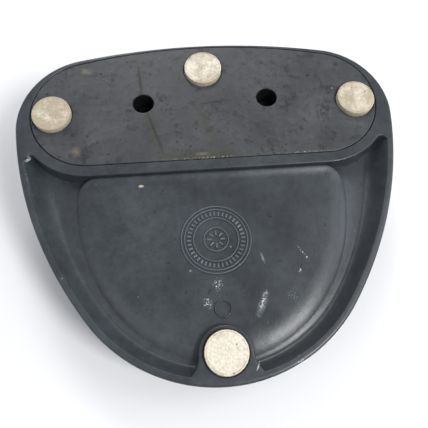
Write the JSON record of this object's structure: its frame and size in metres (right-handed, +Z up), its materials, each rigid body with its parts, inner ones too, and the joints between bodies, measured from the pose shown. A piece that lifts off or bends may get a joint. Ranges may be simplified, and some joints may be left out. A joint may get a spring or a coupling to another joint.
{
  "type": "sewing machine foot pedal",
  "caption": "Low rounded-triangle foot speed control on felt pads, with a hinged domed treadle over a moulded body whose underside has a flush access plate.",
  "frame": {"origin": "on the floor, under the middle of the plan", "axes": "+Z up in use, +Y towards the wide rear end under the toes, +X to the right seen from above"},
  "size_m": [0.1568, 0.1426, 0.0431],
  "materials": {
    "body_phenolic": "moulded phenolic, worn semi-gloss, dark slate grey",
    "plate_phenolic": "moulded phenolic, dull and speckled, slate grey",
    "treadle_phenolic": "moulded phenolic, worn semi-gloss, dark slate grey",
    "felt": "pressed wool felt, off-white, soiled",
    "steel": "zinc-dull steel",
    "spring_steel": "oiled spring wire",
    "brass": "turned brass, dull",
    "porcelain": "glazed porcelain, off-white",
    "carbon": "pressed carbon, matt black",
    "rubber": "black moulded rubber"
  },
  "bodies": {
    "base": {"base_shell": "body_phenolic", "access_plate": "plate_phenolic", "felt_pad_left": "felt", "felt_pad_right": "felt", "felt_pad_rear": "felt", "felt_pad_front": "felt", "plate_screw_left": "steel", "plate_screw_right": "steel", "hinge_clip_left": "steel", "hinge_clip_right": "steel", "hinge_pin": "steel", "treadle_spring": "spring_steel", "plunger_bush": "brass", "lever_pin": "steel", "lever_spring": "spring_steel", "rheostat_block": "porcelain", "carbon_pile_front": "carbon", "carbon_pile_rear": "carbon", "pile_contact_front": "brass", "pile_contact_rear": "brass", "rheostat_screw_left": "steel", "rheostat_screw_right": "steel", "terminal_block": "plate_phenolic", "terminal_screw_left": "brass", "terminal_screw_right": "brass", "cord_inlet_bush": "rubber"},
    "treadle": {"treadle": "treadle_phenolic"},
    "plunger": {"plunger": "brass"},
    "lever": {"contact_lever": "steel", "contact_bridge": "brass"}
  },
  "joints": [
    {"name": "treadle_hinge", "type": "hinge", "parent": "base", "child": "treadle", "pos_m": [0, -0.046, 0.0205], "axis": [-1, 0, 0], "range_deg": [0, 4], "stiffness_Nm_per_rad": 10, "springref_deg": -3.44, "deforming": ["treadle_spring", "lever_spring"]},
    {"name": "plunger_slide", "type": "slide", "parent": "base", "child": "plunger", "axis": [0, 0, -1], "range_m": [0, 0.00535]},
    {"name": "lever_pivot", "type": "hinge", "parent": "base", "child": "lever", "pos_m": [-0.03077, 0.0296, 0.02], "axis": [0, 1, 0], "range_deg": [0, 10.42]}
  ],
  "couplings": [
    {"joint": "plunger_slide", "follows": "treadle_hinge", "m_per_rad": 0.07605},
    {"joint": "lever_pivot", "follows": "treadle_hinge", "ratio": 2.6}
  ]
}
